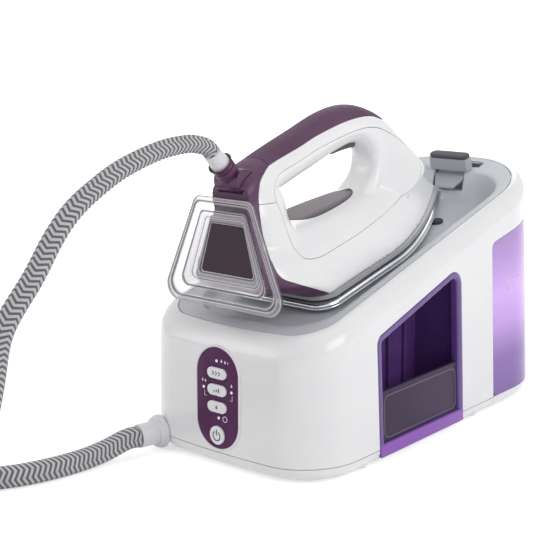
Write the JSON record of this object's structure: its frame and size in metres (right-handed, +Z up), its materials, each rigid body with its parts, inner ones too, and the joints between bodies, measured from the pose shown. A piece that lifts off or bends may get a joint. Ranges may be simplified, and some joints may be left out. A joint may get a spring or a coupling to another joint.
{
  "type": "steam generator iron",
  "caption": "Steam generator iron: a white base with a violet hose pocket, lilac removable water tank and plum control panel, and an iron parked on its sloping tray.",
  "frame": {"origin": "middle of the footprint of base and tank, on the plane the feet stand on", "axes": "+Z up, -Y out of the control panel, +Y the way the tank is pulled out, +X towards the hose pocket"},
  "size_m": [0.341, 0.809, 0.2873],
  "materials": {
    "white_shell": "smooth glossy white moulding",
    "grey_tray": "fine satin light grey moulding",
    "plum": "satin plum moulding",
    "soft_plum": "soft-touch plum grip with a fine grain",
    "charcoal": "fine-grained charcoal",
    "button_white": "glossy off-white",
    "lens": "clear light pipe",
    "board": "green circuit board",
    "violet": "deep violet translucent moulding",
    "fence": "muted violet translucent moulding",
    "rubber_dark": "matt black rubber",
    "steel": "bare steel",
    "sole": "polished soleplate",
    "brass": "bare brass",
    "copper_pipe": "bare copper pipe",
    "pump_plastic": "plain moulding",
    "silicone": "milky silicone tube",
    "lilac": "lilac translucent tank",
    "clear": "clear moulding",
    "hose_cover": "woven pale grey cover with darker chevrons",
    "heat_gap": "black heat-proof spacer",
    "grey_skirt": "satin grey"
  },
  "bodies": {
    "base": {"base_pan": "white_shell", "base_housing": "white_shell", "iron_tray": "grey_tray", "tray_rest_pads": "rubber_dark", "control_panel": "plum", "indicator_lenses": "lens", "control_board": "board", "tact_switches": "charcoal", "hose_compartment": "violet", "compartment_fence": "fence", "rubber_feet": "rubber_dark", "housing_screws": "steel", "tank_bay": "grey_tray", "boiler": "steel", "boiler_saddles": "steel", "heater_element": "brass", "thermostat": "charcoal", "safety_valve": "brass", "steam_pipe": "copper_pipe", "solenoid_valve": "brass", "outlet_pipe": "copper_pipe", "water_pump": "pump_plastic", "pump_bracket": "rubber_dark", "suction_tube": "silicone", "feed_tube": "silicone", "tank_coupling": "grey_tray", "terminal_block": "pump_plastic", "mains_gland": "charcoal", "hose_gland": "white_shell", "hose_iron_run": "hose_cover", "hose_coil": "hose_cover", "hose_base_run": "hose_cover"},
    "iron": {"soleplate": "sole", "heat_shield": "heat_gap", "iron_skirt": "grey_skirt", "iron_body": "white_shell", "iron_saddle": "white_shell", "handle_grip": "soft_plum", "heel_cover": "plum", "heel_stand": "clear", "indicator_panel": "plum", "trigger_pin": "steel", "trigger_spring": "steel", "micro_switch": "charcoal", "steam_tube": "silicone", "swivel_pin": "steel"},
    "steam_trigger": {"steam_trigger": "charcoal"},
    "hose_swivel": {"hose_swivel": "plum"},
    "lock": {"lock_slider": "grey_tray", "lock_pad": "charcoal"},
    "water_tank": {"water_tank": "lilac", "tank_base": "white_shell", "tank_valve": "grey_tray", "tank_seal": "rubber_dark", "flap_pin": "steel"},
    "tank_flap": {"tank_flap": "lilac"},
    "turbo_button": {"turbo_button": "button_white"},
    "mode_button": {"mode_button": "button_white"},
    "clean_button": {"clean_button": "button_white"},
    "power_button": {"power_button": "button_white"}
  },
  "joints": [
    {"name": "iron_lift", "type": "slide", "parent": "base", "child": "iron", "axis": [0, 0, 1], "range_m": [0, 0.08], "deforming": ["hose_iron_run"]},
    {"name": "trigger_squeeze", "type": "hinge", "parent": "iron", "child": "steam_trigger", "pos_m": [0, -0.04529, 0.25745], "axis": [1, 0, 0], "range_deg": [0, 7], "stiffness_Nm_per_rad": 0.3, "springref_deg": -3.44, "deforming": ["trigger_spring"]},
    {"name": "hose_tilt", "type": "hinge", "parent": "iron", "child": "hose_swivel", "pos_m": [0, -0.16602, 0.23772], "axis": [1, 0, 0], "range_deg": [-15, 15], "deforming": ["hose_iron_run"]},
    {"name": "lock_slide", "type": "slide", "parent": "base", "child": "lock", "axis": [0, 0.9608, 0.2773], "range_m": [-0.0045, 0.008]},
    {"name": "tank_pull", "type": "slide", "parent": "base", "child": "water_tank", "axis": [0, 1, 0], "range_m": [0, 0.13]},
    {"name": "flap_open", "type": "hinge", "parent": "water_tank", "child": "tank_flap", "pos_m": [0, 0.18825, 0.138], "axis": [-1, 0, 0], "range_deg": [0, 75]},
    {"name": "turbo_button_press", "type": "slide", "parent": "base", "child": "turbo_button", "axis": [0, 0.9995, -0.0314], "range_m": [0, 0.0012], "stiffness_N_per_m": 800, "springref_m": -0.001},
    {"name": "mode_button_press", "type": "slide", "parent": "base", "child": "mode_button", "axis": [0, 0.9995, -0.0314], "range_m": [0, 0.0012], "stiffness_N_per_m": 800, "springref_m": -0.001},
    {"name": "clean_button_press", "type": "slide", "parent": "base", "child": "clean_button", "axis": [0, 0.9995, -0.0314], "range_m": [0, 0.0012], "stiffness_N_per_m": 800, "springref_m": -0.001},
    {"name": "power_button_press", "type": "slide", "parent": "base", "child": "power_button", "axis": [0, 0.9995, -0.0314], "range_m": [0, 0.0012], "stiffness_N_per_m": 800, "springref_m": -0.001}
  ]
}
